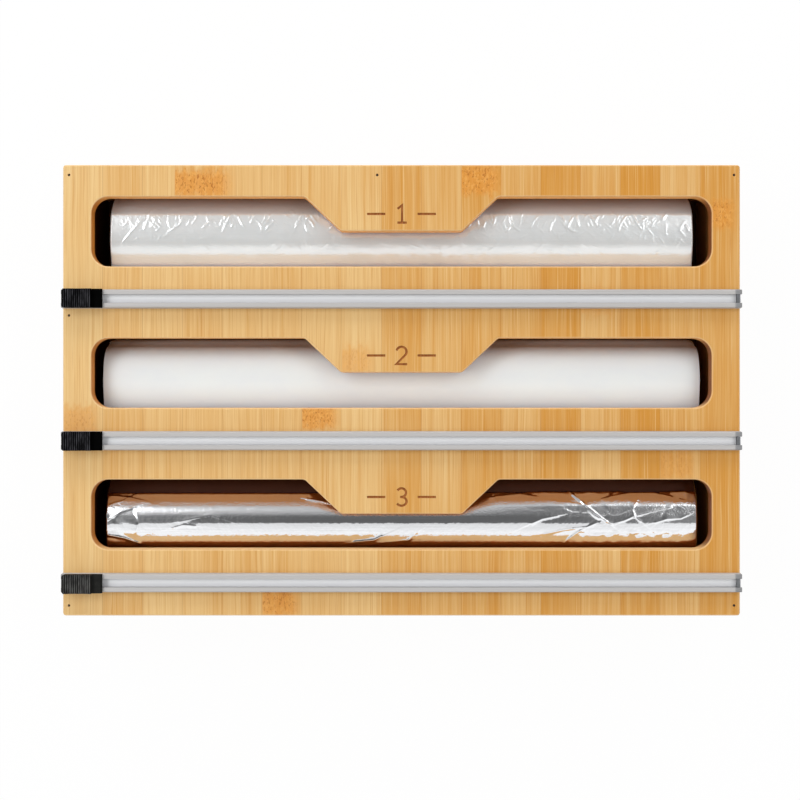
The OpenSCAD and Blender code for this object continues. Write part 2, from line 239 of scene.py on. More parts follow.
def bare_and_shaded(axes):
    """Long boards: their inner faces are unlacquered wood, browner than outside, and the face behind the foil
    is painted near black as painted shade.
    """
    y = axes["y"]
    wall_face, divider_face = (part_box(node)[0].y / MM for node in ("rear_wall", "front_divider"))
    inner = abs(y).rise(wall_face + 0.9, wall_face + 0.3)
    shade_behind_foil = abs(y - divider_face).rise(3.0, 2.0)
    return [(inner * 0.8, ink(170, 98, 38)), (shade_behind_foil * 0.95, ink(78, 32, 10))]


base_low, base_high = (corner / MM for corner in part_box("base_panel"))
base_strip = 18.6
ease("base_panel", 0.8)
dress("base_panel", bamboo("base bamboo", "x", "y", base_strip, base_low.y, 11, bare_and_painted=inside_painted_shade))

# Walls and dividers: 10 mm and 7 mm bamboo boards on edge, glued to the base and to each other.
# The dividers are housed in the left end wall, and stop just short of the door.
wall_strip, divider_strip = 17.7, 26.5
for node, easing, strip_w, number in (
    ("rear_wall", 0.6, wall_strip, 23), ("front_wall", 0.6, wall_strip, 31),
    ("rear_divider", 0.3, divider_strip, 47), ("front_divider", 0.3, divider_strip, 53),
):
    ease(node, easing)
    dress(node, bamboo(node.replace("_", " ") + " bamboo", "x", "z", strip_w, base_high.z, number, bare_and_painted=bare_and_shaded))
ease("left_end_wall", 0.4)
dress("left_end_wall", bamboo("end wall bamboo", "y", "z", wall_strip, base_high.z, 61, bare_and_painted=inside_painted_shade))

# End door: a 10 mm bamboo board with a half-round lower edge, which swings down on two steel pins.
# A finger notch is cut in its upper edge, and magnets in it and in the dividers hold it shut.
ease("end_door", 0.5)
door_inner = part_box("end_door")[0].x / MM
door_strip, door_foot = 17.3, 6.6


def door_back(axes):
    """The door's inner face, unlacquered like the boards'."""
    return [(axes["x"].rise(door_inner + 0.9, door_inner + 0.3) * 0.6, ink(166, 98, 38))]


dress("end_door", bamboo("door bamboo", "y", "z", door_strip, door_foot, 71, bare_and_painted=door_back))


def drawn_steel(name, tint, rough, lay):
    """Bare steel with fine lines left by drawing or grinding along the axis `lay`."""
    steel = Finish(name)
    axes = dict(zip("xyz", steel.place()))
    stretch = [axes[a] * (0.4 if a == lay else 9.0) for a in "xyz"]
    line = steel.cloud(steel.join(*stretch), 1.0, 3.0, 0.7)
    stain = steel.cloud(steel.join(*axes.values()), 0.6, 2.0)
    dull = [c * 0.62 for c in tint[:3]] + [1.0]
    steel.shader(
        Base_Color=steel.mix(line * 0.5 + stain * 0.4, tint, dull), Metallic=1.0,
        Roughness=rough + line * 0.16, Normal=steel.relief(line, 0.00002, 0.5),
    )
    return steel.material


dress("hinge_pins", drawn_steel("pin steel", ink(196, 197, 200), 0.26, "y"))
for node in ("door_magnets", "divider_magnets"):
    dress(node, drawn_steel("bright nickel " + node, ink(214, 212, 206), 0.14, "z"))

# Rolls: each is wound on a tube of grey-brown card, made of strips glued in a spiral.
# The tube's ends are plain knife cuts, and the seam of its outer strip winds round it.
def spiral_card(name, middle_y, middle_z):
    card = Finish(name)
    x, y, z = card.place()
    seam_pitch = 62
    turn = z.sums("ARCTAN2", z - middle_z, y - middle_y) / math.tau
    seam = abs((x / seam_pitch - turn).wrapped() - 0.5).rise(0.488, 0.497)
    pulp = card.cloud(card.join(x, y, z), 1.6, 4.0, 0.7)
    fleck = card.cloud(card.join(x * 0.8, y * 2.6, z * 2.6), 1.0, 2.0)
    colour = card.mix(pulp.rise(0.3, 0.7), ink(170, 132, 95), ink(148, 110, 75))
    colour = card.mix(fleck.rise(0.62, 0.72) * 0.5, colour, ink(112, 80, 52))
    card.shader(
        Base_Color=card.mix(seam * 0.6, colour, ink(98, 70, 46)), Roughness=0.82 + pulp * 0.12,
        Normal=card.relief(pulp - seam * 2, 0.00008, 0.7),
    )
    return card.material


def middle_of(node):
    low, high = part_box(node)
    return (low + high) / 2


for node in ("film_core", "wax_core", "foil_core"):
    middle = middle_of(node) / MM
    dress(node, spiral_card(node.replace("_", " ") + " card", middle.y, middle.z))
    ease(node, 0.2, 1, 50)


# Wound wraps: many turns of thin sheet round the core, so the outside is a smooth cylinder
# that carries whatever creases the last turns have. `creases` says how far, in mm, the skin
# lies below the full radius at a place along the roll and at an angle from straight up.
def wound(name, node, body, creases, step_x, fine_turn, back_turn=40):
    low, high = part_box(node)
    middle, radius = (low + high) / 2, (high.z - low.z) / 2
    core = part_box(node.replace("_wrap", "_core"))
    bore = (core[1].z - core[0].z) / 2 + 0.05 * MM
    fine_half = math.radians(82)
    angles = np.concatenate([
        np.linspace(-fine_half, fine_half, fine_turn),
        np.linspace(fine_half, math.tau - fine_half, back_turn)[1:-1],
    ])
    count = round((high.x - low.x) / (step_x * MM)) + 1
    xs = np.linspace(low.x, high.x, count)
    drop = creases(xs / MM, angles, radius / MM) * MM
    rim = 0.5 * MM
    inset = np.clip(np.minimum(xs - low.x, high.x - xs) / rim, 0, 1)
    round_off = rim * (1 - np.sqrt(1 - (1 - inset) ** 2))
    reach = radius - np.maximum(drop, 0) - round_off[:, None]
    loops = [(x, reach[i]) for i, x in enumerate(xs)]
    inward = (0.25, 0.5, 0.75, 1.0)
    loops += [(high.x, reach[-1] + (bore - reach[-1]) * t) for t in inward]
    loops += [(low.x, reach[0] + (bore - reach[0]) * t) for t in inward[::-1]]
    sines, cosines = np.sin(angles), np.cos(angles)
    points = np.concatenate([
        np.stack([np.full(len(angles), x), middle.y + r * sines, middle.z + r * cosines], 1)
        for x, r in loops
    ])
    turns, rows = len(angles), len(loops)
    faces = []
    for i in range(rows):
        for j in range(turns):
            a, b = i * turns + j, i * turns + (j + 1) % turns
            c, d = (i + 1) % rows * turns + (j + 1) % turns, (i + 1) % rows * turns + j
            faces.append((a, b, c, d))
    mesh = bpy.data.meshes.new(name)
    mesh.from_pydata(points.tolist(), [], faces)
    skin = bmesh.new()
    skin.from_mesh(mesh)
    bmesh.ops.recalc_face_normals(skin, faces=skin.faces)
    skin.to_mesh(mesh)
    skin.free()
    mesh.shade_smooth()
    mesh.set_sharp_from_angle(angle=math.radians(50))
    roll = bpy.data.objects.new(name, mesh)
    bpy.context.scene.collection.objects.link(roll)
    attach(roll, body)
    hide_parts(node)
    return roll


def swell(x, arc, along, round_it, seed):
    """Smooth random waves, -1 to 1, of about these lengths in mm along the roll and round it."""
    return np.vectorize(lambda a, b: noise.noise(Vector((a / along, b / round_it, seed))))(x, arc)


# An outer turn that hangs slack isn't quite round. Its shape is given by how steeply it sinks below
# the full radius, in mm per mm, along the arc from the front (negative) over the top to the back.
arc_end = 36
arc_steps = np.linspace(-arc_end, arc_end, 1441)


def sagged(slopes, least):
    """How far a slack turn lies below the full radius at each of arc_steps, at least `least` mm."""
    depth = np.cumsum(np.interp(arc_steps, *zip(*slopes))) * (arc_steps[1] - arc_steps[0])
    return depth + least - depth.min()


def all_round(arc, sag, radius):
    """The slack turn's depth right round the roll. Underneath, it eases from the back's to the front's."""
    return np.interp(arc, np.append(arc_steps, math.tau * radius - arc_end), np.append(sag, sag[0]))


# Plastic film: clear cling film, whitish in many layers, glossy, a little slack at the outside.
# Short slanting creases lift off it, and the ends of the roll show the edges of its turns.
# A crease is (place along the roll, place on the arc, half length, slant, height, width, bow).
film_rng = np.random.default_rng(7)
crease_reach = 144
film_creases = []
for _ in range(150):
    width = film_rng.uniform(0.34, 0.62)
    film_creases.append((
        film_rng.uniform(-crease_reach, crease_reach), film_rng.normal(11.2, 2.0),
        film_rng.uniform(1.4, 4.6),
        math.radians(film_rng.choice([-1, 1], p=[0.38, 0.62]) * film_rng.uniform(40, 78)),
        width * film_rng.uniform(0.2, 0.48), width, film_rng.uniform(-0.08, 0.08),
    ))
for _ in range(260):
    film_creases.append((
        film_rng.uniform(-crease_reach, crease_reach), film_rng.normal(5.0, 5.5),
        film_rng.uniform(1.0, 4.0), math.radians(film_rng.uniform(20, 160)),
        film_rng.uniform(0.03, 0.09), film_rng.uniform(0.3, 0.5), 0.0,
    ))
film_creases += [
    (at_x, at_arc, length, math.radians(slant), height, width, bow)
    for at_x, at_arc, length, slant, height, width, bow in (
        (-136.0, 5.5, 11.5, 52, 0.26, 0.42, 0.006), (-124.5, 11.0, 4.5, 60, 0.2, 0.4, 0.02),
        (-88.5, 9.5, 5.0, 58, 0.3, 0.45, 0.05), (-81.0, 11.0, 4.5, -62, 0.26, 0.42, -0.03),
        (-20.5, 11.0, 5.5, -64, 0.26, 0.4, 0.04), (55.5, 10.0, 6.0, -66, 0.34, 0.55, -0.07),
        (84.5, 10.0, 5.0, 66, 0.3, 0.45, 0.04), (97.0, 11.5, 4.0, -50, 0.22, 0.4, 0.05),
        (111.0, 10.5, 5.5, 60, 0.28, 0.4, 0.03), (118.5, 10.5, 5.5, -62, 0.26, 0.4, -0.02),
    )
]
# The film bellies out at its front, below the window's edge, and lies flat behind its top.
film_sag = sagged([
    (-36, 0.0), (-34, -0.03), (-16, -0.03), (-14.6, 0.1), (-13.2, 0.26), (-12, 0.22), (-9.7, 0.08),
    (-7.5, -0.02), (-6.5, -0.03), (-3.5, -0.058), (-2, -0.077), (0, -0.03), (2, -0.03), (5, -0.09),
    (9, -0.19), (12, -0.3), (14.2, -0.4), (15.2, -0.1), (16.5, 0.0), (36, 0.0),
], 0.06)


def film_slack(xs, angles, radius):
    x, arc = np.meshgrid(xs, angles * radius, indexing="ij")
    wave, pucker = swell(x, arc, 26, 11, 3.1), swell(x, arc, 3.2, 7, 8.7)
    lift = np.zeros_like(x)
    for at_x, at_arc, length, tilt, height, width, bow in film_creases:
        height *= min(1, 0.55 + (at_x + crease_reach) / 220)
        near = np.abs(xs - at_x) < length + 2
        if not near.any():
            continue
        dx, da = x[near] - at_x, arc[near] - at_arc
        run = dx * math.cos(tilt) + da * math.sin(tilt)
        off = -dx * math.sin(tilt) + da * math.cos(tilt) + bow * run ** 2
        taper = np.clip(1 - (run / length) ** 2, 0, 1)
        lift[near] = np.maximum(lift[near], height * taper * np.exp(-(off / width) ** 2))
    slack = np.clip(1.2 - np.abs(x - 5) / 130, 0.25, 1)
    creased_half = 1.5
    top = np.abs(angles)[None, :] < creased_half
    lower = all_round(arc, film_sag, radius)
    ragged = 0.05 + 0.06 * np.clip((-2 - arc) / 3, 0, 1)
    return np.where(top, lower + 0.06 * wave + ragged * slack * pucker - lift, lower)


film = wound("film_roll_skin", "film_wrap", "film_roll", film_slack, 0.36, 210)
cling = Finish("clear film in layers")
x, y, z = cling.place()
haze = cling.cloud(cling.join(x * 0.05, y * 0.09, z * 0.09), 1.0, 3.0)
crinkle = cling.cloud(cling.join(x * 0.35 + y * 0.2, y * 0.5, z * 0.5), 1.0, 4.0, 0.65)
ringed = cling.cloud(cling.join(x * 0.02, y * 3.5, z * 3.5), 1.0, 2.0)
tint = cling.mix(haze.rise(0.3, 0.7), ink(236, 243, 246), ink(241, 247, 250))
tint = cling.mix(crinkle.rise(0.58, 0.75) * 0.35, tint, ink(248, 250, 251))
cling.shader(
    Base_Color=cling.mix(ringed.rise(0.5, 0.7) * 0.1, tint, ink(206, 207, 207)), Metallic=0.3,
    Roughness=0.09 + crinkle * 0.08, IOR=1.6, Coat_Weight=0.3, Coat_Roughness=0.05,
    Normal=cling.relief(crinkle + haze, 0.0002, 0.35),
)
film.data.materials.append(cling.material)


# Wax paper: white tissue paper soaked in wax, smooth with a dull sheen, and cut clean at its ends.
# Only long soft waves run along it. Its outer turn is a little slack at the front and behind.
wax_sag = sagged([
    (-36, 0.0), (-34, -0.04), (-17, -0.04), (-15.5, 0.12), (-13.5, 0.3), (-9, 0.17), (-5, 0.03), (0, 0.0),
    (6, -0.04), (11, -0.06), (13, -0.02), (15, 0.05), (18, 0.14), (21, 0.25), (24, 0.36), (27, 0.08),
    (30, -0.1), (34, -0.1), (36, 0.0),
], 0.08)


def paper_waves(xs, angles, radius):
    x, arc = np.meshgrid(xs, angles * radius, indexing="ij")
    return all_round(arc, wax_sag, radius) + 0.06 * swell(x, arc, 70, 14, 5.3)


wax = wound("wax_paper_roll_skin", "wax_wrap", "wax_roll", paper_waves, 2.4, 90)
waxed = Finish("waxed paper")
x, y, z = waxed.place()
cloudy = waxed.cloud(waxed.join(x * 0.06, y * 0.12, z * 0.12), 1.0, 3.0)
pulp = waxed.cloud(waxed.join(x * 0.9, y * 1.4, z * 1.4), 1.0, 4.0, 0.7)
fold = waxed.cloud(waxed.join(x * 0.01, y * 0.9, z * 0.9), 1.0, 2.0)
tint = waxed.mix(cloudy.rise(0.3, 0.7), ink(243, 252, 255), ink(240, 249, 254))
waxed.shader(
    Base_Color=waxed.mix(pulp.rise(0.55, 0.75) * 0.3, tint, ink(248, 254, 255)),
    Roughness=0.42 + pulp * 0.16, Coat_Weight=0.25, Coat_Roughness=0.3,
    Normal=waxed.relief(pulp * 0.4 + fold, 0.00006, 0.5),
)
wax.data.materials.append(waxed.material)


# Foil: bright aluminium sheet 0.015 mm thick. It takes every knock, so the roll's left end and its
# right third are crumpled into facets, and a few long folds run along the smooth part.
# A crease is (points as place along the roll and on the arc, height, width, step across it).
foil_creases = [
    ([(86.5, 14.1), (92.0, 9.1), (98.0, 3.6), (103.5, -0.9)], 0.26, 0.42, 0.07),
    ([(89.5, 12.4), (95.0, 5.0), (99.5, 0.4)], 0.14, 0.36, 0.04),
    ([(94.0, 5.6), (97.0, 2.6), (101.0, 0.6)], 0.17, 0.35, -0.048),
    ([(103.5, -0.9), (107.0, -1.9), (112.0, -0.4), (117.5, 2.1), (120.5, -0.7)], 0.17, 0.4, 0.048),
    ([(118.5, 9.6), (116.5, 6.1), (117.5, 2.6)], 0.15, 0.4, -0.036),
    ([(117.5, 2.1), (126.0, 4.6), (136.0, 7.1)], 0.14, 0.5, 0.036),
    ([(66.0, -1.9), (71.0, 0.6), (79.0, 2.3)], 0.12, 0.7, 0.06),
    ([(83.0, -11.4), (90.0, -5.9), (98.5, -1.3)], 0.1, 0.42, -0.04),
    ([(72.0, -7.9), (82.0, -5.5), (92.0, -4.1)], 0.09, 0.5, 0.036),
    ([(48.0, 13.6), (60.0, 15.1), (72.0, 12.1), (84.0, 10.1)], 0.03, 0.8, -0.07),
    ([(104.0, 12.6), (116.0, 15.6), (128.0, 15.6), (140.0, 12.1)], 0.03, 0.9, -0.08),
    ([(128.0, -1.4), (134.0, 0.6), (141.0, 1.1), (147.0, 4.1)], 0.12, 0.4, 0.03),
    ([(3.0, -11.4), (6.0, -8.9)], 0.09, 0.5, 0.024),
    ([(-147.0, 14.1), (-138.0, 13.1), (-128.5, 10.6)], 0.07, 0.5, -0.05),
    ([(-147.0, 9.1), (-141.0, 11.1), (-138.0, 13.1)], 0.07, 0.5, -0.05),
    ([(-148.0, 0.1), (-142.0, 4.6), (-136.5, 6.6)], 0.18, 0.5, 0.048),
    ([(-148.0, -8.4), (-140.0, -9.9), (-132.0, -12.9)], 0.26, 0.6, 0.084),
    ([(-112.0, -0.9), (-104.0, 1.1), (-96.0, 2.6), (-92.0, 1.1)], 0.1, 0.8, 0.036),
    ([(-116.0, -4.7), (-110.0, -2.9), (-104.0, -3.5)], 0.11, 0.5, 0.03),
    ([(-48.0, 12.1), (-40.0, 10.6), (-32.0, 8.1)], 0.15, 0.6, 0.06),
    ([(-24.0, -11.9), (-14.0, -10.9), (-10.0, -8.9)], 0.15, 0.6, -0.048),
    ([(-20.0, -13.9), (-10.0, -12.4), (4.0, -10.9)], 0.11, 0.6, 0.03),
]
foil_rng = np.random.default_rng(19)
# A facet is (place along the roll, place on the arc, steepness). The level ones keep the rest smooth.
foil_facets = [(foil_rng.uniform(62, 150), foil_rng.uniform(-4, 18), 0.016) for _ in range(26)]
foil_facets += [(foil_rng.uniform(134, 150), foil_rng.uniform(2.5, 14), 0.05) for _ in range(24)]
foil_facets += [(foil_rng.uniform(-150, -140), foil_rng.uniform(-12, 5), 0.04) for _ in range(24)]
foil_facets += [(px, pa, 0.0) for px in range(-128, 60, 12) for pa in (-18, -6, 6, 18)]
foil_facets += [(px, pa, 0.0) for px in (-149, -144, -139) for pa in (8, 12, 16)]
foil_facets += [(px, pa, 0.0) for px in range(64, 152, 6) for pa in (-2, -8, -18)]
foil_facets = [
    (px, pa, steep * foil_rng.normal() * settle, steep * foil_rng.normal() * settle)
    for px, pa, steep in foil_facets
    for settle in [min(1, max(0, (px - 60) / 26, (-130 - px) / 12))]
]
# The outer turn is slack, so it lies flatter than a true round, and flattest to the right of the tab.
foil_front = [
    (-36, 0.0), (-34, -0.06), (-15, -0.06), (-13.2, 0.2), (-12, 0.36), (-7.4, 0.142), (-2.5, 0.022),
]
foil_back = [(15, -0.185), (16.2, 0.0), (24, 0.0), (26, -0.05), (34, -0.05), (36, 0.0)]
foil_sag = sagged(foil_front + [(-1.0, 0.044), (4, 0.03), (8.2, 0.078)] + foil_back, 0.22)
foil_flat = sagged(foil_front + [(-1.0, 0.036), (4, -0.085), (7.4, -0.17), (8.6, 0.05)] + foil_back, 0.1)


def foil_folds(xs, angles, radius):
    x, arc = np.meshgrid(xs, angles * radius, indexing="ij")
    warp = swell(x, arc, 9, 9, 2.2)
    weights, facets = np.zeros_like(x), np.zeros_like(x)
    for px, pa, lean_x, lean_a in foil_facets:
        dx, da = x - px + 2.0 * warp, arc - pa - 2.0 * warp
        share = np.exp(-0.22 * (dx ** 2 + da ** 2)) + 1e-12
        weights += share
        facets += share * (lean_x * dx + lean_a * da)
    sway = swell(x, arc, 60, 12, 4.4)
    lift = np.zeros_like(x)
    for points, height, width, step in foil_creases:
        best, sided = np.full_like(x, 99.0), np.zeros_like(x)
        for (ax, aa), (bx, ba) in zip(points, points[1:]):
            run_x, run_a, dx, da = bx - ax, ba - aa, x - ax, arc - aa
            along = np.clip((dx * run_x + da * run_a) / (run_x ** 2 + run_a ** 2), 0, 1)
            away = np.hypot(dx - along * run_x, da - along * run_a)
            sided = np.where(away < best, np.sign(run_x * da - run_a * dx), sided)
            best = np.minimum(best, away)
        ledge = sided * (1 - np.exp(-best / 0.5)) * np.exp(-best / 5.0)
        lift += height * np.exp(-(best / width) ** 1.3) + step * ledge
    low_right = np.clip((x - 84) / 6, 0, 1) * np.clip((-5 - arc) / 2, 0, 1)
    crumple = swell(x, arc, 3.4, 2.6, 6.6) * low_right
    flat = np.clip((x - 30) / 45, 0, 1)
    lower = all_round(arc, foil_sag, radius) * (1 - flat) + all_round(arc, foil_flat, radius) * flat
    creased_half = 1.42
    top = np.abs(angles)[None, :] < creased_half
    return np.where(top, lower + facets / weights + 0.03 * sway + 0.07 * crumple - lift, lower)


foil = wound("foil_roll_skin", "foil_wrap", "foil_roll", foil_folds, 0.4, 200)
bright = Finish("bright aluminium foil")
x, y, z = bright.place()
rolled = bright.cloud(bright.join(x * 0.04, y * 5.0, z * 5.0), 1.0, 3.0, 0.6)
dimple = bright.cloud(bright.join(x, y, z), 0.45, 1.0, 0.6)
foil_y = middle_of("foil_wrap").y / MM
crown = (y - foil_y).rise(1.0, 3.0) * (y - foil_y).rise(11.0, 8.5)
mottle = bright.cloud(bright.join(x, y, z), 1.2, 3.0, 0.65) * (0.15 + crown * 1.6)
bright.shader(
    Base_Color=bright.mix(rolled.rise(0.35, 0.7) * 0.5, ink(240, 241, 243), ink(222, 223, 225)),
    Metallic=1.0, Roughness=0.025 + rolled * 0.03,
    Normal=bright.relief(dimple * 0.8 + rolled * 0.06 + mottle, 0.0002, 0.25),
)
foil.data.materials.append(bright.material)


# Window panel: a 9 mm board of strips that run across the box, with three windows routed through.
# Every edge is rounded over, each tab has its row's numeral burnt in, and brads are sunk at the rim.
def arcs(corners, steps=9):
    """Points in metres round an outline of (x, y, corner radius) in mm, counter-clockwise."""
    points = []
    for i, (cx, cy, r) in enumerate(corners):
        at = Vector((cx, cy))
        back = (Vector(corners[i - 1][:2]) - at).normalized()
        ahead = (Vector(corners[(i + 1) % len(corners)][:2]) - at).normalized()
        corner = math.acos(max(-1, min(1, back.dot(ahead))))
        reach = r / math.tan(corner / 2)
        start, end = at + back * reach, at + ahead * reach
        centre = at + (back + ahead).normalized() * (r / math.sin(corner / 2))
        first = math.atan2(start.y - centre.y, start.x - centre.x)
        sweep = math.atan2(end.y - centre.y, end.x - centre.x) - first
        sweep = (sweep + math.pi) % math.tau - math.pi
        for s in range(steps + 1):
            a = first + sweep * s / steps
            points.append(((centre.x + r * math.cos(a)) * MM, (centre.y + r * math.sin(a)) * MM))
    return points


panel_low, panel_high = (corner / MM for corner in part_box("top_panel"))
rim_r, corner_r, bay_pitch = 0.8, 1.5, 70.0
window_w, window_h, window_r, window_shift = 307.0, 34.5, 8.5, 8.55
tab_top, tab_foot, tab_drop, tab_r = 96.0, 60.0, 17.0, 3.0


def window_corners(row):
    middle = bay_pitch * (1 - row) + window_shift
    top, foot = middle + window_h / 2, middle - window_h / 2
    w = window_w / 2
    return [
        (-w, foot, window_r), (w, foot, window_r), (w, top, window_r), (tab_top / 2, top, tab_r),
        (tab_foot / 2, top - tab_drop, tab_r), (-tab_foot / 2, top - tab_drop, tab_r),
        (-tab_top / 2, top, tab_r), (-w, top, window_r),
    ]


def mesh_of(source):
    """The object's finished mesh, with its modifiers or bevels made real, and the source removed."""
    bpy.context.view_layer.update()
    finished = source.evaluated_get(bpy.context.evaluated_depsgraph_get())
    mesh = bpy.data.meshes.new_from_object(finished)
    bpy.data.objects.remove(source)
    return mesh


board = bpy.data.curves.new("window_panel", "CURVE")
board.dimensions, board.fill_mode = "2D", "BOTH"
thick = (panel_high.z - panel_low.z) * MM
board.bevel_depth, board.bevel_resolution = rim_r * MM, 3
board.extrude, board.offset = thick / 2 - rim_r * MM, -rim_r * MM
left, front, right, rear = panel_low.x, panel_low.y, panel_high.x, panel_high.y
outline = [
    (left, front, corner_r), (right, front, corner_r), (right, rear, corner_r), (left, rear, corner_r),
]
for corners in [outline] + [window_corners(row) for row in range(3)]:
    points = arcs(corners)
    line = board.splines.new("POLY")
    line.points.add(len(points) - 1)
    for p, (px, py) in zip(line.points, points):
        p.co = (px, py, 0, 1)
    line.use_cyclic_u = True
blank = bpy.data.objects.new("panel_blank", board)
bpy.context.scene.collection.objects.link(blank)
mesh = mesh_of(blank)
skin = bmesh.new()
skin.from_mesh(mesh)
bmesh.ops.remove_doubles(skin, verts=skin.verts, dist=2e-6)
bmesh.ops.translate(skin, verts=skin.verts, vec=(0, 0, (panel_high.z + panel_low.z) / 2 * MM))
bmesh.ops.recalc_face_normals(skin, faces=skin.faces)
skin.to_mesh(mesh)
skin.free()
panel = bpy.data.objects.new("window_panel", mesh)
bpy.context.scene.collection.objects.link(panel)

# Burnt numerals: a hot cutter leaves a round-bottomed groove, drawn here as lines on the tab
# (mm from the middle of the label, 8.6 mm tall), with a plain dash to each side.
def oval(wide, high, rise, first, last):
    """Points on an oval arc of these half sizes round (0, rise), between two angles in degrees."""
    turns = np.linspace(math.radians(first), math.radians(last), 16)
    return [(wide * math.cos(a), rise + high * math.sin(a)) for a in turns]


numerals = [
    [[(-1.9, 2.5), (0.3, 4.3), (0.3, -4.3)], [(-2.0, -4.3), (2.6, -4.3)]],
    [oval(2.5, 2.5, 1.8, 165, -35) + [(-2.6, -4.3), (2.8, -4.3)]],
    [oval(2.2, 2.15, 2.15, 150, -90) + [(-0.7, 0.0)], [(0.0, 0.0)] + oval(2.5, 2.15, -2.15, 80, -150)],
]
groove_r, groove_sink = 0.64, 0.18
dash_from, dash_to = 8.0, 17.0
label_rise = 8.4
tools = bmesh.new()


def groove(points, z):
    """A round bar along the points, to be cut out of the panel."""
    sides = 10
    rings = []
    for i, point in enumerate(points):
        here = Vector(point)
        back = (here - Vector(points[i - 1])).normalized() if i else None
        ahead = (Vector(points[i + 1]) - here).normalized() if i + 1 < len(points) else None
        way = ((back or ahead) + (ahead or back)).normalized()
        across = Vector((-way.y, way.x))
        stretch = 1 / max(0.5, way.dot(ahead or back))
        ring = []
        for s in range(sides):
            a = math.tau * s / sides
            flat = here + across * (groove_r * math.cos(a) * stretch)
            ring.append(tools.verts.new((flat.x * MM, flat.y * MM, (z + groove_r * math.sin(a)) * MM)))
        rings.append(ring)
    for one, two in zip(rings, rings[1:]):
        for s in range(sides):
            tools.faces.new((one[s], one[(s + 1) % sides], two[(s + 1) % sides], two[s]))
    tools.faces.new(rings[0][::-1])
    tools.faces.new(rings[-1])


groove_z = panel_high.z + groove_sink
for row, strokes in enumerate(numerals):
    tab_foot_y = bay_pitch * (1 - row) + window_shift + window_h / 2 - tab_drop
    for stroke in strokes:
        groove([(px, py + tab_foot_y + label_rise) for px, py in stroke], groove_z)
    for side in (-1, 1):
        groove([(side * px, tab_foot_y + label_rise) for px in (dash_from, dash_to)], groove_z)
brad_x, brad_y = 164.5, 106.5
brad_spots = [
    (-brad_x, brad_y), (-12, brad_y), (brad_x, brad_y), (-brad_x, 37), (-brad_x, -brad_y), (brad_x, -brad_y),
]
pit_foot_r, pit_top_r, pit_tall, pit_rise = 0.66, 0.72, 2.4, 0.1
for bx, by in brad_spots:
    pit = bmesh.ops.create_cone(
        tools, cap_ends=True, segments=16,
        radius1=pit_foot_r * MM, radius2=pit_top_r * MM, depth=pit_tall * MM,
    )
    bmesh.ops.translate(tools, verts=pit["verts"], vec=(bx * MM, by * MM, (panel_high.z + pit_rise) * MM))
bmesh.ops.recalc_face_normals(tools, faces=tools.faces)
tool_mesh = bpy.data.meshes.new("panel_tools")
tools.to_mesh(tool_mesh)
tools.free()
cutter = bpy.data.objects.new("panel_tools", tool_mesh)
bpy.context.scene.collection.objects.link(cutter)
cut = panel.modifiers.new("numerals and brad holes", "BOOLEAN")
cut.operation, cut.solver, cut.object, cut.use_self = "DIFFERENCE", "EXACT", cutter, True
mesh = mesh_of(panel)
bpy.data.objects.remove(cutter)
mesh.name = "window_panel"
panel = bpy.data.objects.new("window_panel", mesh)
bpy.context.scene.collection.objects.link(panel)

# The knuckles are where the cane's joints were: speckled bands across one strip.
panel_strip, panel_drift = 19.7, 0.0016
panel_knuckles = [
    (-112.3, -80, 102, 1.0), (29.5, 52, 104, 1.0), (147.7, 167.5, 87, 0.9), (-167.5, -148, -15, 0.6),
    (-49.3, -29, -12, 1.0), (-29.6, -12, 14.5, 0.5), (-69, -48, -105, 0.9), (128, 148, -37, 0.5),
    (88.6, 108, 44, 0.4),
]


def cut_wood_light_and_shade(axes):
    """Cut wood on the window walls, unlacquered, with painted light and shade on it. The walls at each
    window's foot are painted pale as painted light. The walls behind are darker, and paler again at the two
    far windows as painted light. The end walls are painted golden at the left and dark brown at the right, as
    painted light and shade. Low down, the foot walls are painted darker as painted shade, and the panel is
    reddish underneath. The rounded edges are painted pale, a painted highlight."""
    x, y, z = axes.values()
    top, under = panel_high.z, panel_low.z
    cut = z.rise(top - 0.3, top - 1.0) * abs(x).rise(158, 156) * abs(y).rise(108, 106)
    foot = ((y - window_shift) / bay_pitch + 0.5).wrapped().rise(0.36, 0.33)
    back = cut * (1 - foot)
    far_two_painted_light = y.rise(-40, -30)
    end = cut * abs(x).rise(146, 152.5)
    rim_highlight = z.rise(top - rim_r, top - rim_r * 0.5) * z.rise(top - 0.01, top - 0.06)
    # The first six layers paint light and shade on the cut walls, and the seventh is a painted highlight on
    # the rims; the last is the reddish underside.
    return [
        (cut * foot * 0.85, ink(255, 208, 140)), (back * 0.8, ink(226, 152, 88)),
        (back * far_two_painted_light * 0.9, ink(255, 188, 104)),
        (end * x.rise(-10, 10) * 0.9, ink(124, 60, 14)), (end * x.rise(10, -10) * 0.9, ink(206, 128, 42)),
        (cut * foot * z.rise(under + 2.5, under + 0.2) * 0.5, ink(206, 104, 34)),
        (rim_highlight * 0.4, ink(250, 216, 166)), (z.rise(under + 0.6, under + 0.1) * 0.9, ink(222, 112, 36)),
    ]


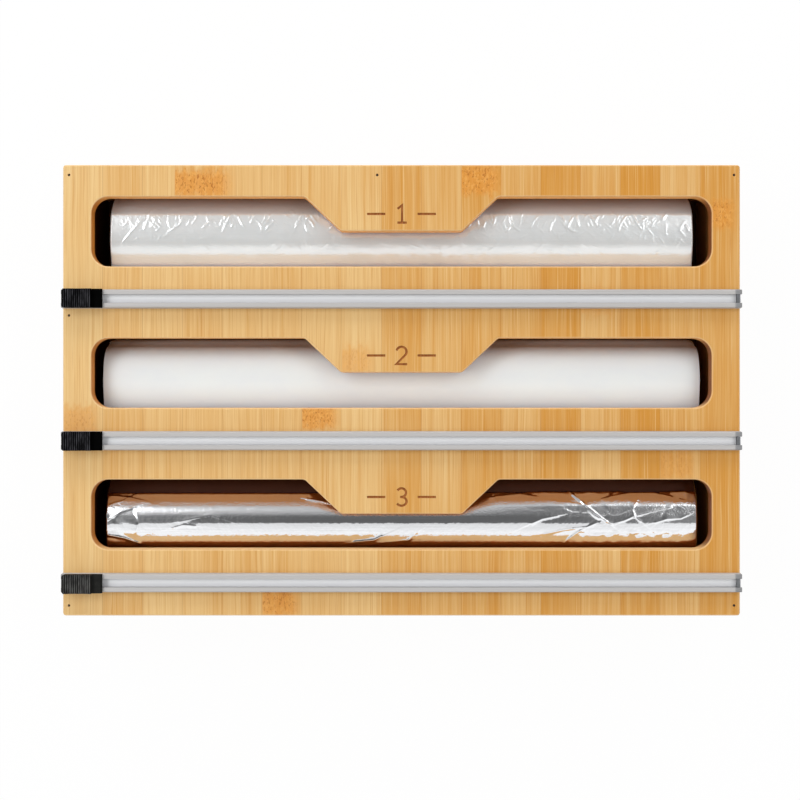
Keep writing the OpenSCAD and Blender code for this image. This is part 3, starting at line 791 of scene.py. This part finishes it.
face_bamboo = bamboo(
    "panel bamboo", "y", "x", panel_strip, panel_low.x, 5, panel_knuckles, panel_drift, cut_wood_light_and_shade,
)
burnt = Finish("burnt bamboo")
x, y, z = burnt.place()
char = burnt.cloud(burnt.join(x * 1.8, y * 0.3, z), 1.0, 3.0)
burnt.shader(
    Base_Color=burnt.mix(char.rise(0.35, 0.65), ink(168, 100, 36), ink(140, 76, 20)),
    Roughness=0.62 + char * 0.2, Normal=burnt.relief(char, 0.00006, 0.6),
)
mesh.materials.clear()
mesh.materials.append(face_bamboo)
mesh.materials.append(burnt.material)
label_half_w, label_half_h = 20.0, 6.0
label_middles = [bay_pitch * (1 - row) + window_shift + label_rise for row in range(3)]
for face in mesh.polygons:
    spot = face.center / MM
    in_row = any(abs(spot.y - label_y) < label_half_h for label_y in label_middles)
    in_groove = panel_high.z - 2 < spot.z < panel_high.z - 0.02
    face.material_index = 1 if abs(spot.x) < label_half_w and in_row and in_groove else 0
mesh.shade_smooth()
mesh.set_sharp_from_angle(angle=math.radians(40))
even = panel.modifiers.new("flat faces stay flat", "WEIGHTED_NORMAL")
even.keep_sharp, even.weight = True, 100
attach(panel, "box")
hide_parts("top_panel")

# Brads: headless steel pins shot through the panel into the walls, sunk a millimetre below it.
# Their steel is a dark grey, darker than the pins', as painted shade for the pits they sit in.
dress("brads", drawn_steel("brad steel", ink(92, 86, 80), 0.4, "z"))

# Cutter rails: extruded pale grey plastic channels, stuck to the panel with double-sided tape.
# The slot is painted near white, whitest on its far half, as painted light against the lips' shade, and thin
# dark lines at its edges are painted shadow.
tape = Finish("double-sided tape")
x, y, z = tape.place()
foam = tape.cloud(tape.join(x, y, z), 2.2, 4.0, 0.7)
tape.shader(
    Base_Color=tape.mix(foam.rise(0.35, 0.65), ink(233, 225, 205), ink(216, 205, 180)),
    Roughness=0.75, Normal=tape.relief(foam, 0.00005, 0.6),
)


def rail_plastic(name, middle_y):
    plastic = Finish(name)
    x, y, z = plastic.place()
    lip_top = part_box("film_rail")[1].z / MM
    lip_under, slot_half, end_x = 70.4, 2.35, 164.8
    off = abs(y - middle_y)
    in_slot = z.rise(lip_under + 0.5, lip_under - 0.3) * off.rise(2.5, 2.0)
    slot_edge_shadow = abs(off - slot_half).rise(0.45, 0.2) * z.rise(lip_top - 0.05, lip_top - 0.25)
    far_half = (y - middle_y).rise(-0.6, 0.6)
    drawn = plastic.cloud(plastic.join(x * 0.015, y * 4, z * 4), 1.0, 3.0, 0.6)
    scuff = plastic.cloud(plastic.join(x * 0.5, y * 2, z * 2), 1.0, 3.0, 0.7)
    at_end = abs(x).rise(end_x - 1.2, end_x) * z.rise(71.0, 71.8)
    colour = plastic.mix(drawn.rise(0.3, 0.7), ink(182, 179, 176), ink(190, 188, 187))
    # Painted light: the slot near white, whitest on the far half where the lip's shadow falls.
    colour = plastic.mix(in_slot, colour, plastic.mix(far_half, ink(238, 239, 242), ink(248, 249, 251)))
    # Painted shadow: thin dark lines along the slot's edges, under the lips.
    colour = plastic.mix(slot_edge_shadow * 0.4, colour, ink(138, 140, 144))
    colour = plastic.mix(at_end * 0.75, colour, ink(112, 114, 117))
    plastic.shader(
        Base_Color=plastic.mix(scuff.rise(0.62, 0.78) * 0.15, colour, ink(168, 168, 168)),
        Roughness=0.34 + drawn * 0.12 + scuff * 0.08, Normal=plastic.relief(drawn, 0.00003, 0.6),
    )
    return plastic.material


for wrap in ("film", "wax", "foil"):
    dress(wrap + "_tape", tape.material)
    ease(wrap + "_rail", 0.16, 2)
    dress(wrap + "_rail", rail_plastic(wrap + " rail plastic", middle_of(wrap + "_rail").y / MM))

# Rail stops: small grey moulded plugs pressed into the channels near both ends.
ease("rail_stops", 0.12, 1)


def moulded(name, dark, light, rough, gloss, wear_and_highlight=None, rub_and_highlight=None):
    """Moulded plastic with its tool's spark-eroded grain, lightened to a third colour where the given mask
    function says, for wear and a painted highlight.
    """
    plastic = Finish(name)
    x, y, z = plastic.place()
    grain = plastic.cloud(plastic.join(x, y, z), 5.5, 3.0, 0.7)
    bloom = plastic.cloud(plastic.join(x, y, z), 0.35, 3.0)
    colour = plastic.mix(bloom.rise(0.35, 0.7) * 0.6 + grain * 0.3, dark, light)
    if wear_and_highlight:
        colour = plastic.mix(wear_and_highlight(plastic, x, y, z), colour, rub_and_highlight)
    plastic.shader(
        Base_Color=colour, Roughness=rough + grain * 0.14 + bloom * 0.06, Specular_IOR_Level=gloss,
        Normal=plastic.relief(grain, 0.00004, 0.4),
    )
    return plastic.material


dress("rail_stops", moulded("grey stop plastic", ink(96, 98, 101), ink(118, 120, 123), 0.45, 0.4))

# Cutter sliders: black moulded grips, ribbed for the thumb, with a smooth nose that leads the cut.
# A foot under the rail's lips holds each one down, and a double-edged blade stands in the slot.
rib_from, rib_to, rib_count = 1.0, 14.2, 13
rib_pitch = (rib_to - rib_from) / (rib_count - 0.5)


def rubbed_and_highlit(plastic, x, y, z):
    """Crests of the ribs, lighter by wear and by a painted highlight, each a different amount and most in the
    middle of its length.
    """
    slider_low, slider_high = (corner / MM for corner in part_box("film_slider"))
    along = x - slider_low.x
    crest = abs(((along - rib_from) / rib_pitch).wrapped() - 0.25).rise(0.3, 0.2)
    on_ribs = along.rise(rib_from - 0.3, rib_from) * along.rise(rib_to + 0.4, rib_to)
    on_ribs = on_ribs * z.rise(slider_high.z - 1.6, slider_high.z - 1.1)
    amount = plastic.cloud(plastic.join(x * 0.45, y * 0.12, 3.0), 1.0, 2.0, 0.7).rise(0.36, 0.68)
    return on_ribs * crest * (0.15 + amount * 0.75)


# The third colour is the ribs' crests, lighter by wear and by a painted highlight.
for wrap, dark, light, rub_and_highlight in (
    ("film", ink(1, 1, 1), ink(4, 4, 5), ink(70, 70, 74)),
    ("wax", ink(1, 1, 1), ink(4, 4, 5), ink(70, 70, 74)),
    ("foil", ink(32, 32, 31), ink(44, 44, 42), ink(104, 104, 102)),
):
    ease(wrap + "_slider", 0.14, 2)
    dress(wrap + "_slider", moulded(wrap + " slider black", dark, light, 0.3, 0.015, rubbed_and_highlit, rub_and_highlight))
    dress(wrap + "_blade", drawn_steel(wrap + " blade steel", ink(205, 207, 210), 0.2, "z"))

# Studio: a white floor, a long softbox overhead on the near side, a strip light at each side, the left
# one brighter, and a low fill at the far and at the near side. The camera looks straight down from three
# quarters of a metre, as the photograph does.
floor_mesh = bpy.data.meshes.new("floor")
floor_half, floor_z = 3.0, -0.0005
floor_mesh.from_pydata([
    (-floor_half, -floor_half, floor_z), (floor_half, -floor_half, floor_z),
    (floor_half, floor_half, floor_z), (-floor_half, floor_half, floor_z),
], [], [(0, 1, 2, 3)])
floor = bpy.data.objects.new("floor", floor_mesh)
bpy.context.scene.collection.objects.link(floor)
paper = Finish("white floor")
paper.shader(Base_Color=[0.94, 0.94, 0.94, 1.0], Roughness=0.9)
rays = paper.node("ShaderNodeLightPath", {}, {}).socket.node.outputs
mirrored = Shade(paper, rays["Is Glossy Ray"]) + Shade(paper, rays["Is Transmission Ray"])
shown_white = (Shade(paper, rays["Is Camera Ray"]) + mirrored).at_most(1.0) * 0.96
glow = paper.node("ShaderNodeEmission", {}, {"Color": [1, 1, 1, 1], "Strength": 1.0})
lit = Shade(paper, paper.surface.outputs[0])
sheet = paper.node("ShaderNodeMixShader", {}, {0: shown_white, 1: lit, 2: glow})
paper.feed(paper.tree.nodes["Material Output"].inputs["Surface"], sheet)
floor_mesh.materials.append(paper.material)

# The room behind the lights is grey, darker overhead, and white where the camera sees it and where
# mirrors show it near the horizon.
world = bpy.data.worlds.new("studio")
bpy.context.scene.world = world
world.use_nodes = True
room = Nodes(world.node_tree)
for old in list(room.tree.nodes):
    room.tree.nodes.remove(old)
rays = room.node("ShaderNodeLightPath", {}, {}).socket.node.outputs
direction = room.node("ShaderNodeTexCoord", {}, {}, "Generated")
height = room.node("ShaderNodeSeparateXYZ", {}, {0: direction}, "Z")
room_greys = [
    (0.0, 0.45), (0.55, 0.45), (0.75, 0.58), (0.92, 0.55), (0.972, 0.3), (0.992, 0.15), (1.0, 0.13),
]
grey = room.node("ShaderNodeValToRGB", {"stops": room_greys}, {"Fac": height})
mirrored = Shade(room, rays["Is Glossy Ray"]) + Shade(room, rays["Is Transmission Ray"])
near_horizon = room.node("ShaderNodeMapRange", {}, {"Value": height, "From Min": 0.12, "From Max": 0.02})
shown_white = (mirrored * near_horizon).at_least(Shade(room, rays["Is Camera Ray"]))
walls = room.node("ShaderNodeBackground", {}, {"Color": grey})
white = room.node("ShaderNodeBackground", {}, {"Color": (1, 1, 1, 1)})
surround = room.node("ShaderNodeMixShader", {}, {0: shown_white, 1: walls, 2: white})
room.node("ShaderNodeOutputWorld", {}, {"Surface": surround})


def softbox(name, at, wide, high, radiance, aim=(0, 0, 0.06)):
    lamp = bpy.data.lights.new(name, "AREA")
    lamp.shape, lamp.size, lamp.size_y = "RECTANGLE", wide, high
    lamp.energy = radiance * math.pi * wide * high
    holder = bpy.data.objects.new(name, lamp)
    holder.location = at
    holder.rotation_euler = (Vector(aim) - Vector(at)).to_track_quat("-Z", "Y").to_euler()
    bpy.context.scene.collection.objects.link(holder)


box_tilt, box_far, box_aim = math.radians(24), 1.25, 0.06
box_at = (0, -box_far * math.sin(box_tilt), box_aim + box_far * math.cos(box_tilt))
softbox("long softbox", box_at, 1.3, 0.53, 0.54)
softbox("left strip light", (-0.94, 0.3, 1.48), 1.4, 0.5, 4.1)
softbox("right strip light", (0.9, 0.3, 1.48), 1.4, 0.5, 1.9)
softbox("far fill", (0, 2.0, 0.95), 2.8, 0.8, 3.1)
softbox("near fill", (0, -2.0, 0.95), 2.8, 0.8, 0.75)

lens = bpy.data.cameras.new("camera")
lens.sensor_width, lens.lens = 36.0, 63.69
lens.shift_x, lens.shift_y = -0.001875, -0.0121875
camera = bpy.data.objects.new("camera", lens)
camera.location = (0, 0, 0.768)
bpy.context.scene.collection.objects.link(camera)
bpy.context.scene.camera = camera
bpy.context.scene.view_settings.view_transform = "Standard"

bpy.context.view_layer.update()
